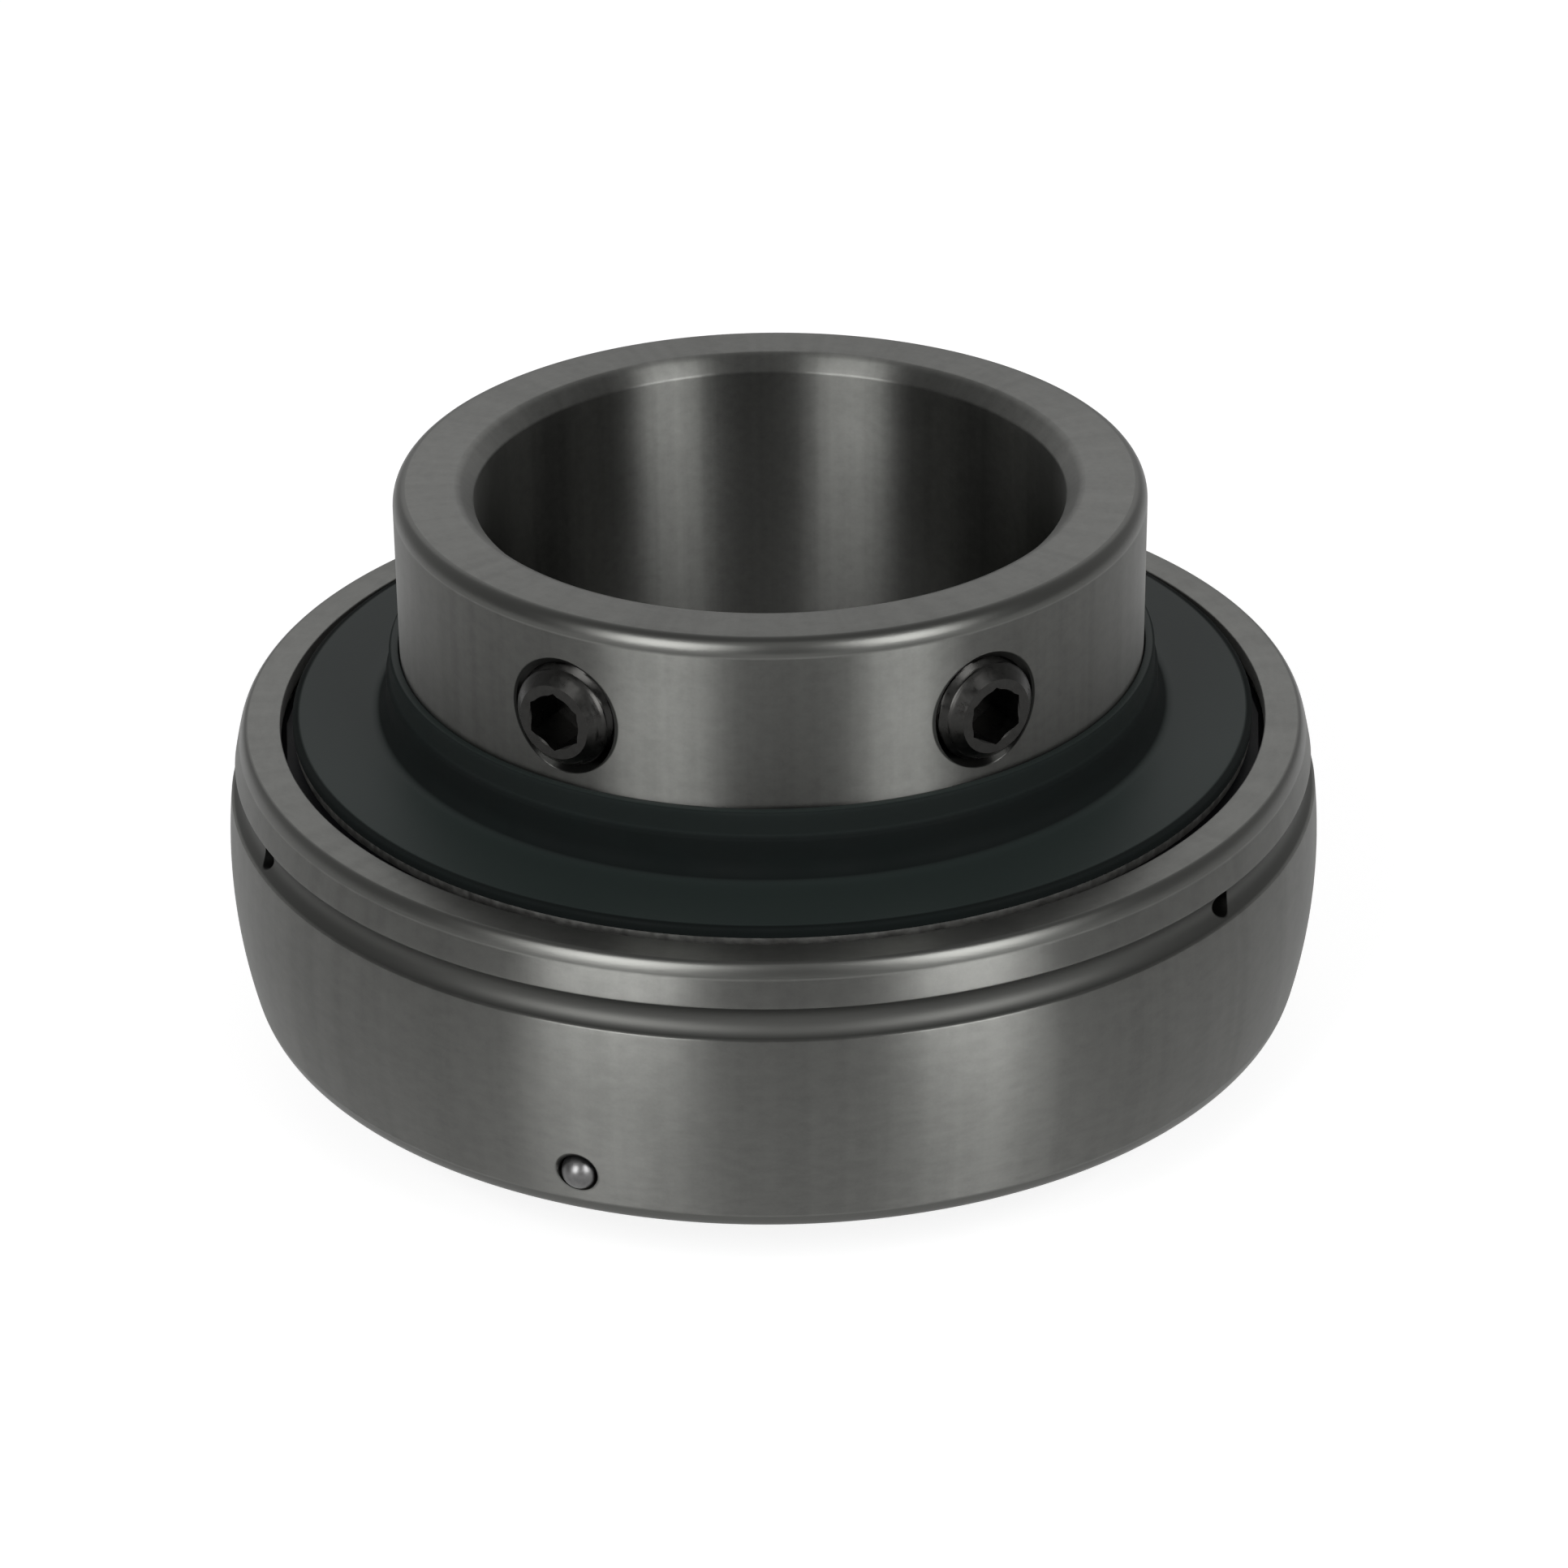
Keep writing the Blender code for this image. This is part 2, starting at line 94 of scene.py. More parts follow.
# Set screws and their tapped holes
SCREW_RADIUS = 4 * MM
SCREW_LENGTH = 7.3 * MM
SCREW_STAND = 1.2 * MM
SCREW_CHAMFER = 1.1 * MM
SCREW_CUP_RADIUS = 2.2 * MM
THREAD_PITCH = 1 * MM
THREAD_DEPTH = 0.6 * MM
SOCKET_WIDTH = 4 * MM
SOCKET_DEPTH = 3.5 * MM
SOCKET_LEAD_IN = 0.12 * MM
SCREW_MOUTH_FLARE = 0.6 * MM
SCREW_ANGLES = {"left": radians(-32), "right": radians(32.8)}

# Lubrication groove and holes
GROOVE_FROM_FACE = 4.45 * MM
GROOVE_WIDTH = 2.5 * MM
GROOVE_DEPTH = 0.8 * MM
LUBRICATION_HOLE_RADIUS = 1 * MM
LUBRICATION_HOLE_ANGLES = [radians(-67.2) + 2 * pi * third / 3 for third in range(3)]

# Anti-rotation pin
PIN_RADIUS = 1.38 * MM
PIN_HOLE_ROOM = 0.12 * MM
PIN_HOLE_BREAK = 0.15 * MM
PIN_FROM_FACE = 3.6 * MM
PIN_STAND = 0.7 * MM
PIN_FLOOR = 0.8 * MM
PIN_ANGLE = radians(-20.35)

# Broken edges
BORE_CHAMFER = 1.2 * MM
RING_EDGE = 1.05 * MM
RING_EDGE_DROP = 1.35 * MM
OUTER_EDGE = 0.5 * MM
OUTER_EDGE_DROP = 1.15 * MM
SMALL_BREAK = 0.15 * MM

# Smoothness of the meshes
RING_STEPS = 288
HOLE_STEPS = 48
CORNER_STEPS = 5
EDGE_STEPS = 9
TRACK_STEPS = 24
GROOVE_STEPS = 20
SPHERE_STEPS = {"above": 6, "below": 36}
DOME_STEPS = 12
BALL_STEPS = (64, 32)
THREAD_STEPS = 48
THREAD_ROWS = 10
LONGEST_FACE = 1.1 * MM
SMOOTH_ANGLE = radians(32)
WELD_DISTANCE = 1e-7
CORNER_SHARE = 0.48
CUTTER_OVERRUN = 1 * MM

# Finishes, as a colour and a roughness
OUTER_RING_STEEL = ((0.155, 0.156, 0.148), 0.38)
INNER_RING_STEEL = ((0.144, 0.145, 0.1375), 0.38)
SLINGER_RUBBER = ((0.0014, 0.003, 0.0028), 0.85)
# Painted light on the slingers' rubber, as a colour and a roughness
SLINGER_PAINTED_LIGHT = ((0.0163, 0.0218, 0.0205), 0.46)
SLINGER_STEEL = ((0.36, 0.36, 0.345), 0.45)
SEAL_RUBBER = ((0.02, 0.02, 0.023), 0.5)
BLACK_OXIDE = ((0.037, 0.0365, 0.035), 0.3)
PIN_STEEL = ((0.17, 0.17, 0.17), 0.35)
BALL_STEEL = ((0.55, 0.55, 0.55), 0.1)
CAGE_STEEL = ((0.4, 0.4, 0.39), 0.35)
RIVET_STEEL = ((0.42, 0.42, 0.41), 0.3)

# The ring steel is ground, with tumbled edges, darker in its groove, and with painted shade on its
# rounded edges and in its holes
GROUND_ANISOTROPY = 0.97
EDGE_ANISOTROPY = 0.2
ALONG_THE_AXIS = 0.25
EDGE_ROUGHNESS = 0.33
PAINTED_EDGE_SHADE = 0.75
FACE_SHARE = 0.5
GROOVE_SHADE = 0.5
GROOVE_ROUGHNESS = 0.48
PAINTED_HOLE_SHADE = 0.16

# Noise runs mostly between these, and roughness swings with it
NOISE_LOW, NOISE_HIGH = 0.3, 0.7
RING_SWING = 0.03
SMOOTHER, ROUGHER = 0.05, 0.08

# Where the masks of these finishes begin, and over what length they fade
FADE = 0.1 * MM
LONG_FADE = 0.2 * MM
FLAT_FADE = 0.01 * MM
EDGE_MASK_SHARE = 0.9
GROOVE_MASK_SHARE = 0.7
GROOVE_MASK_DEPTH = 0.25 * MM

# Painted light on the slingers' rubber: lighter on what faces up and on the collar's lip, stopping
# short of the rim
PAINTED_LIGHT_FACING = 0.995
PAINTED_LIGHT_FACING_FADE = 0.13
PAINTED_LIGHT_FROM_RIM = 0.6 * MM
LIP_HEIGHT = 4.1 * MM
LIP_PAINTED_LIGHT = 0.25

# Specular levels, of rubber and of the slingers' rubber
RUBBER_SHINE = 0.11
SLINGER_SHINE = 0.16

# Softboxes: azimuth from the front towards +X, elevation, distance, width and height, radiance
SOFTBOXES = {
    "softbox_left": (-33, 27, 0.9, (0.43, 0.6), 7.4),
    "softbox_right": (40, 27, 0.9, (0.36, 0.6), 7.8),
    "softbox_top": (0, 62, 0.9, (0.9, 0.3), 0.5),
    "softbox_back": (180, 34, 1.0, (1.2, 0.5), 0.5),
}

# The room that steel mirrors, from the direction's Y to a strength, and its least strength
ROOM = {"From Min": -0.4, "From Max": 0.6, "To Min": 0.14, "To Max": 0.46}
ROOM_LEAST = 0.15

# The floor: its own grey, and how much it glows where it is seen and where it is mirrored
FLOOR_GREY = 0.5
FLOOR_ROUGHNESS = 0.9
FLOOR_SEEN = 0.75
FLOOR_MIRRORED = 0.36
FLOOR_RADIUS = 3
FLOOR_STEPS = 128
FLOOR_GAP = 0.02 * MM

# Sizes that follow
LAND_RADIUS = BORE_RADIUS + INNER_WALL
INNER_TRACK_BOTTOM = LAND_RADIUS - TRACK_DEPTH
PITCH_RADIUS = INNER_TRACK_BOTTOM + RUNNING_GAP + BALL_RADIUS
OUTER_TRACK_BOTTOM = PITCH_RADIUS + BALL_RADIUS + RUNNING_GAP
SHOULDER_RADIUS = OUTER_TRACK_BOTTOM - TRACK_DEPTH
TRACK_RADIUS = TRACK_TO_BALL * BALL_RADIUS
SPHERE_RADIUS = OUTER_TRACK_BOTTOM + OUTER_WALL
MOUTH_RADIUS = SHOULDER_RADIUS + MOUTH_STEP
SEAT_RADIUS = MOUTH_RADIUS + SEAL_UNDERCUT
PIN_SEAT_RADIUS = SEAT_RADIUS + PIN_FLOOR
GROOVE_HEIGHT = HALF_WIDTH - GROOVE_FROM_FACE
PIN_HEIGHT = PIN_FROM_FACE - HALF_WIDTH
MIDDLE = SHORT_SIDE


def polar(radius, angle):
    """A (radius, height) point on a circle about the origin."""
    return (radius * cos(angle), radius * sin(angle))


def arc(centre, radius, start, end, steps):
    """Points (radius, height) on an arc, both ends included."""
    points = []
    for step in range(steps + 1):
        across, up = polar(radius, start + (end - start) * step / steps)
        points.append((centre[0] + across, centre[1] + up))
    return points


def mirrored(points):
    """The same outline below the middle plane, walked the other way."""
    return [(point[0], -point[1], *point[2:]) for point in reversed(points)]


def rounded(outline):
    """The outline with each corner that has a third value rounded over that length."""
    points = []
    for index, corner in enumerate(outline):
        here = Vector(corner[:2])
        if len(corner) < 3:
            points.append(tuple(here))
            continue
        before = Vector(outline[index - 1][:2]) - here
        after = Vector(outline[(index + 1) % len(outline)][:2]) - here
        reach = min(corner[2], before.length * CORNER_SHARE, after.length * CORNER_SHARE)
        start = here + before.normalized() * reach
        end = here + after.normalized() * reach
        for step in range(CORNER_STEPS + 1):
            share = step / CORNER_STEPS
            bend = start * (1 - share) ** 2 + here * 2 * share * (1 - share) + end * share**2
            points.append(tuple(bend))
    return points


def split_long(points):
    """A closed outline with points added on its long straight stretches, for even faces."""
    result = []
    for here, there in zip(points, points[1:] + points[:1]):
        across, up = there[0] - here[0], there[1] - here[1]
        parts = max(1, ceil(hypot(across, up) / LONGEST_FACE))
        for part in range(parts):
            result.append((here[0] + across * part / parts, here[1] + up * part / parts))
    return result


def finished(name, shape):
    """The mesh of a bmesh, faces out, smooth but for its sharp edges."""
    bmesh.ops.recalc_face_normals(shape, faces=shape.faces)
    mesh = bpy.data.meshes.new(name)
    shape.to_mesh(mesh)
    shape.free()
    mesh.shade_smooth()
    mesh.set_sharp_from_angle(angle=SMOOTH_ANGLE)
    return mesh


def turned(name, outline, steps=RING_STEPS):
    """A mesh turned about +Z from (radius, height) points, closed on the axis or as a loop."""
    shape = bmesh.new()
    verts = [shape.verts.new((radius, 0, height)) for radius, height in outline]
    edges = [shape.edges.new(pair) for pair in zip(verts, verts[1:])]
    if outline[0][0] > 0:
        edges.append(shape.edges.new((verts[-1], verts[0])))
    bmesh.ops.spin(
        shape,
        geom=verts + edges,
        axis=(0, 0, 1),
        cent=(0, 0, 0),
        angle=2 * pi,
        steps=steps,
        use_merge=True,
    )
    bmesh.ops.remove_doubles(shape, verts=shape.verts, dist=WELD_DISTANCE)
    return finished(name, shape)


def rod(radius, low, high):
    """The outline of a plain cylinder."""
    return [(0, low), (radius, low), (radius, high), (0, high)]


def place(name, mesh, matrix):
    piece = bpy.data.objects.new(name, mesh)
    bpy.context.scene.collection.objects.link(piece)
    piece.matrix_world = matrix
    return piece


def upright():
    """The frame of pieces that turn about the bearing's axis."""
    return Matrix.Translation((0, 0, MIDDLE))


def sideways(angle, height):
    """A frame whose +Z points outwards from the axis, at this angle from the front towards +X."""
    turn = Matrix.Rotation(angle - pi / 2, 4, "Z") @ Matrix.Rotation(pi / 2, 4, "Y")
    return Matrix.Translation((0, 0, MIDDLE + height)) @ turn


def cut(piece, cutters):
    """Cuts these (mesh, matrix) tools out of the piece and keeps the plain result."""
    tools = []
    for number, (mesh, matrix) in enumerate(cutters):
        tool = place(f"tool_{number}", mesh, matrix)
        modifier = piece.modifiers.new(tool.name, "BOOLEAN")
        modifier.object = tool
        modifier.operation = "DIFFERENCE"
        tools.append(tool)
    bpy.context.view_layer.update()
    graph = bpy.context.evaluated_depsgraph_get()
    mesh = bpy.data.meshes.new_from_object(piece.evaluated_get(graph))
    piece.modifiers.clear()
    piece.data = mesh
    for tool in tools:
        bpy.data.objects.remove(tool)
    mesh.shade_smooth()
    mesh.set_sharp_from_angle(angle=SMOOTH_ANGLE)


def stand_for(piece, body, material, node):
    """Puts a finished piece on its body in place of a node."""
    piece.data.materials.clear()
    piece.data.materials.append(material)
    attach(piece, body)
    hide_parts(node)


def outer_ring_edge(face_angle, edge_angle):
    """The rounded edge from the side face to the sphere, which meets both without a corner."""
    start = (SPHERE_RADIUS * cos(face_angle) - OUTER_EDGE, HALF_WIDTH)
    end = polar(SPHERE_RADIUS, edge_angle)
    rise = (HALF_WIDTH - end[1]) / cos(edge_angle)
    corner = Vector((end[0] - rise * sin(edge_angle), HALF_WIDTH))
    points = []
    for step in range(EDGE_STEPS):
        share = step / EDGE_STEPS
        bend = Vector(start) * (1 - share) ** 2 + corner * 2 * share * (1 - share)
        points.append(tuple(bend + Vector(end) * share**2))
    return points


def outer_ring_outline():
    """Spherical outside with the lubrication groove, ball track, seal seats and open mouths."""
    face_angle = asin(HALF_WIDTH / SPHERE_RADIUS)
    edge_angle = asin((HALF_WIDTH - OUTER_EDGE_DROP) / SPHERE_RADIUS)
    groove_angle = asin(GROOVE_HEIGHT / SPHERE_RADIUS)
    groove_half = asin(GROOVE_WIDTH / 2 / SPHERE_RADIUS)
    edge = outer_ring_edge(face_angle, edge_angle)
    groove_top = groove_angle + groove_half
    above = arc((0, 0), SPHERE_RADIUS, edge_angle, groove_top, SPHERE_STEPS["above"])[:-1]
    sag = SPHERE_RADIUS * (1 - cos(groove_half))
    deep = GROOVE_DEPTH - sag
    bend = (GROOVE_WIDTH**2 / 4 + deep**2) / (2 * deep)
    spread = asin(GROOVE_WIDTH / 2 / bend)
    middle = polar(SPHERE_RADIUS - GROOVE_DEPTH + bend, groove_angle)
    inwards = groove_angle + pi
    hollow = arc(middle, bend, inwards - spread, inwards + spread, GROOVE_STEPS)
    hollow[0] = (*hollow[0], SMALL_BREAK)
    hollow[-1] = (*hollow[-1], SMALL_BREAK)
    groove_foot = groove_angle - groove_half
    below = arc((0, 0), SPHERE_RADIUS, groove_foot, -edge_angle, SPHERE_STEPS["below"])[1:]
    seat = [
        (SHOULDER_RADIUS, SEAL_FLOOR, SMALL_BREAK),
        (SEAT_RADIUS, SEAL_FLOOR, SMALL_BREAK),
        (SEAT_RADIUS, SEAL_SEAT_TOP - SEAL_UNDERCUT, SMALL_BREAK),
        (MOUTH_RADIUS, SEAL_SEAT_TOP, SMALL_BREAK),
        (MOUTH_RADIUS, HALF_WIDTH, SMALL_BREAK),
    ]
    track_centre = OUTER_TRACK_BOTTOM - TRACK_RADIUS
    reach = acos((SHOULDER_RADIUS - track_centre) / TRACK_RADIUS)
    track = arc((track_centre, 0), TRACK_RADIUS, -reach, reach, TRACK_STEPS)
    return rounded(edge + above + hollow + below + mirrored(edge) + mirrored(seat) + track + seat)


def make_outer_ring(material):
    ring = place("outer_ring_fine", turned("outer_ring_fine", outer_ring_outline()), upright())
    low, high = SHOULDER_RADIUS - CUTTER_OVERRUN, SPHERE_RADIUS + CUTTER_OVERRUN
    drill = turned("lubrication_drill", rod(LUBRICATION_HOLE_RADIUS, low, high), HOLE_STEPS)
    cutters = []
    for angle in LUBRICATION_HOLE_ANGLES:
        cutters.append((drill, sideways(angle, GROOVE_HEIGHT)))
    surface = sqrt(SPHERE_RADIUS**2 - PIN_HEIGHT**2)
    hole_radius = PIN_RADIUS + PIN_HOLE_ROOM
    pin_hole = [
        (0, PIN_SEAT_RADIUS),
        (hole_radius, PIN_SEAT_RADIUS),
        (hole_radius, surface - PIN_HOLE_BREAK),
        (hole_radius + PIN_HOLE_BREAK + CUTTER_OVERRUN, surface + CUTTER_OVERRUN),
        (0, surface + CUTTER_OVERRUN),
    ]
    cutters.append((turned("pin_drill", pin_hole, HOLE_STEPS), sideways(PIN_ANGLE, PIN_HEIGHT)))
    cut(ring, cutters)
    stand_for(ring, "housing_side", material, "outer_ring")


def inner_ring_end(height):
    """One end of the inner ring, from its bore over the end face to its outside."""
    points = [
        (BORE_RADIUS, height - BORE_CHAMFER, SMALL_BREAK),
        (BORE_RADIUS + BORE_CHAMFER, height, 3 * SMALL_BREAK),
    ]
    for across, up in reversed(arc((0, 0), 1, 0, pi / 2, EDGE_STEPS)):
        radius = LAND_RADIUS - RING_EDGE * (1 - across)
        points.append((radius, height - RING_EDGE_DROP * (1 - up)))
    return points


def make_inner_ring(material):
    track_centre = INNER_TRACK_BOTTOM + TRACK_RADIUS
    reach = acos((track_centre - LAND_RADIUS) / TRACK_RADIUS)
    track = arc((track_centre, 0), TRACK_RADIUS, pi - reach, pi + reach, TRACK_STEPS)
    outline = rounded(inner_ring_end(LONG_SIDE) + track + mirrored(inner_ring_end(SHORT_SIDE)))
    mesh = turned("inner_ring_fine", split_long(outline))
    ring = place("inner_ring_fine", mesh, upright())
    tapped_hole = [
        (0, BORE_RADIUS - CUTTER_OVERRUN),
        (SCREW_RADIUS, BORE_RADIUS - CUTTER_OVERRUN),
        (SCREW_RADIUS, LAND_RADIUS - SCREW_MOUTH_FLARE),
        (SCREW_RADIUS + SCREW_MOUTH_FLARE + CUTTER_OVERRUN, LAND_RADIUS + CUTTER_OVERRUN),
        (0, LAND_RADIUS + CUTTER_OVERRUN),
    ]
    drill = turned("screw_drill", tapped_hole, HOLE_STEPS)
    cut(ring, [(drill, sideways(angle, SCREW_HEIGHT)) for angle in SCREW_ANGLES.values()])
    stand_for(ring, "shaft_side", material, "inner_ring")


def slinger_outlines():
    """A rubber collar in two steps and a coat on the plate, and the steel sheet under it.

    The coat ends a little way down the rim, which hangs in the outer ring's mouth.
    """
    inside = LAND_RADIUS + SLINGER_FIT
    sleeve = LAND_RADIUS + SLINGER_SLEEVE
    boot = sleeve + SLINGER_BOOT_STEP
    rim = MOUTH_RADIUS - SLINGER_RUNNING_GAP
    bare_rim = rim - SLINGER_RIM_SETBACK
    rim_top = HALF_WIDTH + SLINGER_RIM_STAND
    rim_foot = rim_top - SLINGER_RIM_HEIGHT
    plate_top = rim_top + SLINGER_PLATE_RISE
    top = plate_top + SLINGER_COLLAR_RISE
    boot_top = plate_top + SLINGER_BOOT_RISE
    coat_foot = rim_top - SLINGER_COAT_DROP
    coat = [
        (inside, top, SMALL_BREAK),
        (sleeve, top, 2 * SMALL_BREAK),
        (sleeve, boot_top, SMALL_BREAK),
        (boot, boot_top - SLINGER_BOOT_STEP, SMALL_BREAK),
        (boot, plate_top, SLINGER_FILLET),
        (rim, rim_top, 2 * SMALL_BREAK),
        (rim, coat_foot, SMALL_BREAK),
        (bare_rim, coat_foot),
        (bare_rim, rim_top - SLINGER_COAT),
        (inside, plate_top - SLINGER_COAT),
    ]
    sheet = [
        (inside, plate_top - SLINGER_COAT - JOINT_LINE),
        (bare_rim - JOINT_LINE, rim_top - SLINGER_COAT - JOINT_LINE, SMALL_BREAK),
        (bare_rim - JOINT_LINE, rim_foot, SMALL_BREAK),
        (rim - SLINGER_SHEET, rim_foot, SMALL_BREAK),
        (rim - SLINGER_SHEET, rim_top - SLINGER_SHEET, SMALL_BREAK),
        (inside, plate_top - SLINGER_SHEET, SMALL_BREAK),
    ]
    return {"coat": rounded(coat), "sheet": rounded(sheet)}


def make_slingers(materials):
    """Each slinger's coat and sheet, from a dictionary of (material, slot) pairs; the slot is not
    used.
    """
    turns = {"upper": Matrix.Identity(4), "lower": Matrix.Rotation(pi, 4, "X")}
    for layer, outline in slinger_outlines().items():
        mesh = turned(f"slinger_{layer}_fine", split_long(outline))
        material, slot = materials[layer]
        for side, turn in turns.items():
            piece = place(f"slinger_{side}_{layer}", mesh, upright() @ turn)
            stand_for(piece, "shaft_side", material, f"slinger_{side}")


def threaded_rod(name, outline):
    """A body within an outline of (radius, height) points, with a thread on its full width."""
    shape = bmesh.new()
    low, high = outline[0][1], outline[-1][1]
    rows = ceil((high - low) / THREAD_PITCH * THREAD_ROWS)
    heights = {height for radius, height in outline}
    heights.update(low + (high - low) * row / rows for row in range(rows))
    grid = []
    for height in sorted(heights):
        limit = width_at(outline, height)
        ring = []
        for step in range(THREAD_STEPS):
            phase = (height / THREAD_PITCH - step / THREAD_STEPS) % 1
            radius = min(limit, SCREW_RADIUS - THREAD_DEPTH * abs(2 * phase - 1))
            angle = 2 * pi * step / THREAD_STEPS
            ring.append(shape.verts.new((radius * cos(angle), radius * sin(angle), height)))
        grid.append(ring)
    for lower, upper in zip(grid, grid[1:]):
        for step in range(THREAD_STEPS):
            beside = (step + 1) % THREAD_STEPS
            shape.faces.new((lower[step], lower[beside], upper[beside], upper[step]))
    shape.faces.new(reversed(grid[0]))
    shape.faces.new(grid[-1])
    return finished(name, shape)


def width_at(outline, height):
    """The radius of an outline at this height."""
    for (radius, low), (next_radius, high) in zip(outline, outline[1:]):
        if low <= height <= high:
            return radius + (next_radius - radius) * (height - low) / (high - low)
    return outline[-1][0]


def make_set_screws(material):
    top = LAND_RADIUS + SCREW_STAND
    foot = top - SCREW_LENGTH
    outline = [
        (SCREW_CUP_RADIUS, foot),
        (SCREW_RADIUS, foot + SCREW_RADIUS - SCREW_CUP_RADIUS),
        (SCREW_RADIUS, top - SCREW_CHAMFER, 4 * SMALL_BREAK),
        (SCREW_RADIUS - SCREW_CHAMFER, top),
    ]
    mesh = threaded_rod("set_screw_fine", rounded(outline))
    corner_radius = SOCKET_WIDTH / 2 / cos(pi / 6)
    above = top + CUTTER_OVERRUN
    key = turned("socket_key", rod(corner_radius, top - SOCKET_DEPTH, above), 6)
    mouth_radius = SOCKET_WIDTH / 2 + SOCKET_LEAD_IN
    mouth = [
        (0, top - mouth_radius),
        (mouth_radius + CUTTER_OVERRUN, above),
        (0, above),
    ]
    cone = turned("socket_mouth", mouth, HOLE_STEPS)
    for side, angle in SCREW_ANGLES.items():
        where = sideways(angle, SCREW_HEIGHT)
        screw = place(f"set_screw_{side}_fine", mesh, where)
        cut(screw, [(key, where), (cone, where)])
        stand_for(screw, f"set_screw_{side}", material, f"set_screw_{side}")


def make_pin(material):
    tip = sqrt(SPHERE_RADIUS**2 - PIN_HEIGHT**2) + PIN_STAND
    foot = PIN_SEAT_RADIUS + PIN_HOLE_ROOM
    dome = arc((0, tip - PIN_RADIUS), PIN_RADIUS, 0, pi / 2, DOME_STEPS)
    outline = [(0, foot), (PIN_RADIUS, foot)] + dome[:-1] + [(0, tip)]
    where = sideways(PIN_ANGLE, PIN_HEIGHT)
    pin = place("anti_rotation_pin_fine", turned("pin_fine", outline, HOLE_STEPS), where)
    stand_for(pin, "housing_side", material, "anti_rotation_pin")


def make_balls(material):
    shape = bmesh.new()
    around, upwards = BALL_STEPS
    bmesh.ops.create_uvsphere(
        shape, u_segments=around, v_segments=upwards, radius=BALL_RADIUS
    )
    mesh = finished("ball_fine", shape)
    balls = sorted(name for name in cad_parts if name.startswith("ball_"))
    for number, name in enumerate(balls):
        angle = 2 * pi * number / len(balls)
        spot = Matrix.Translation((PITCH_RADIUS * cos(angle), PITCH_RADIUS * sin(angle), MIDDLE))
        stand_for(place(f"{name}_fine", mesh, spot), name, material, name)


def join(tree, operation, *given):
    """The result of a Math node, whose inputs are numbers or sockets."""
    node = tree.nodes.new("ShaderNodeMath")
    node.operation = operation
    for target, source in zip(node.inputs, given):
        if isinstance(source, bpy.types.NodeSocket):
            tree.links.new(source, target)
        else:
            target.default_value = source
    return node.outputs[0]


